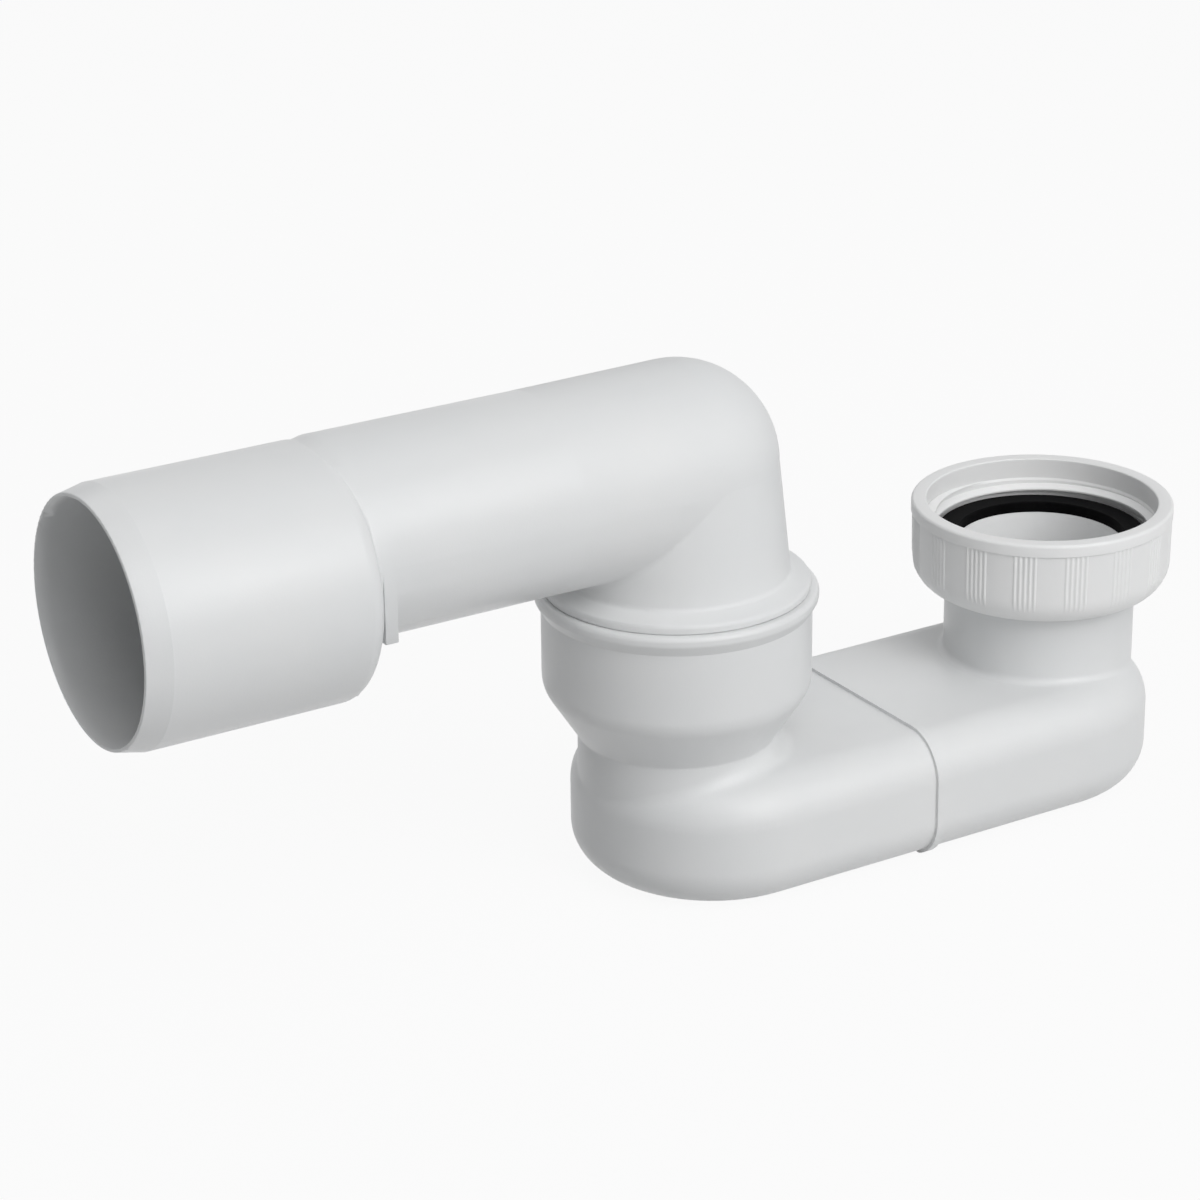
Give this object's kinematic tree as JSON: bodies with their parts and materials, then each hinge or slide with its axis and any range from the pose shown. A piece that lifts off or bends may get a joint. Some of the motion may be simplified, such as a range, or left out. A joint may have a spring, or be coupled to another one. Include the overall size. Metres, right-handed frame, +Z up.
{
  "type": "bath trap",
  "caption": "Shallow white plastic bath trap: flat water-seal trough, union-nut inlet for a threaded waste, and a swivelling elbow with a stepped push-fit outlet.",
  "frame": {"origin": "on the trough's flat underside, on the swivel axis of the outlet elbow", "axes": "+X from the swivel axis towards the inlet, +Z up along the swivel axis; the outlet leaves along -X"},
  "size_m": [0.2445, 0.0588, 0.1076],
  "materials": {
    "body_plastic": "satin white polypropylene",
    "seal_rubber": "dull black rubber"
  },
  "bodies": {
    "trap_body": {"trap_outlet_half": "body_plastic", "trap_inlet_half": "body_plastic", "socket_seal": "seal_rubber", "inlet_washer": "seal_rubber"},
    "outlet_arm": {"swivel_elbow": "body_plastic"},
    "inlet_nut": {"union_nut": "body_plastic"}
  },
  "joints": [
    {"name": "elbow_swivel", "type": "hinge", "parent": "trap_body", "child": "outlet_arm", "pos_m": [0, 0, 0.065], "axis": [0, 0, 1], "range_deg": [-150, 150]},
    {"name": "nut_turn", "type": "hinge", "parent": "trap_body", "child": "inlet_nut", "pos_m": [0.0914, 0, 0.05], "axis": [0, 0, 1], "continuous": true}
  ]
}
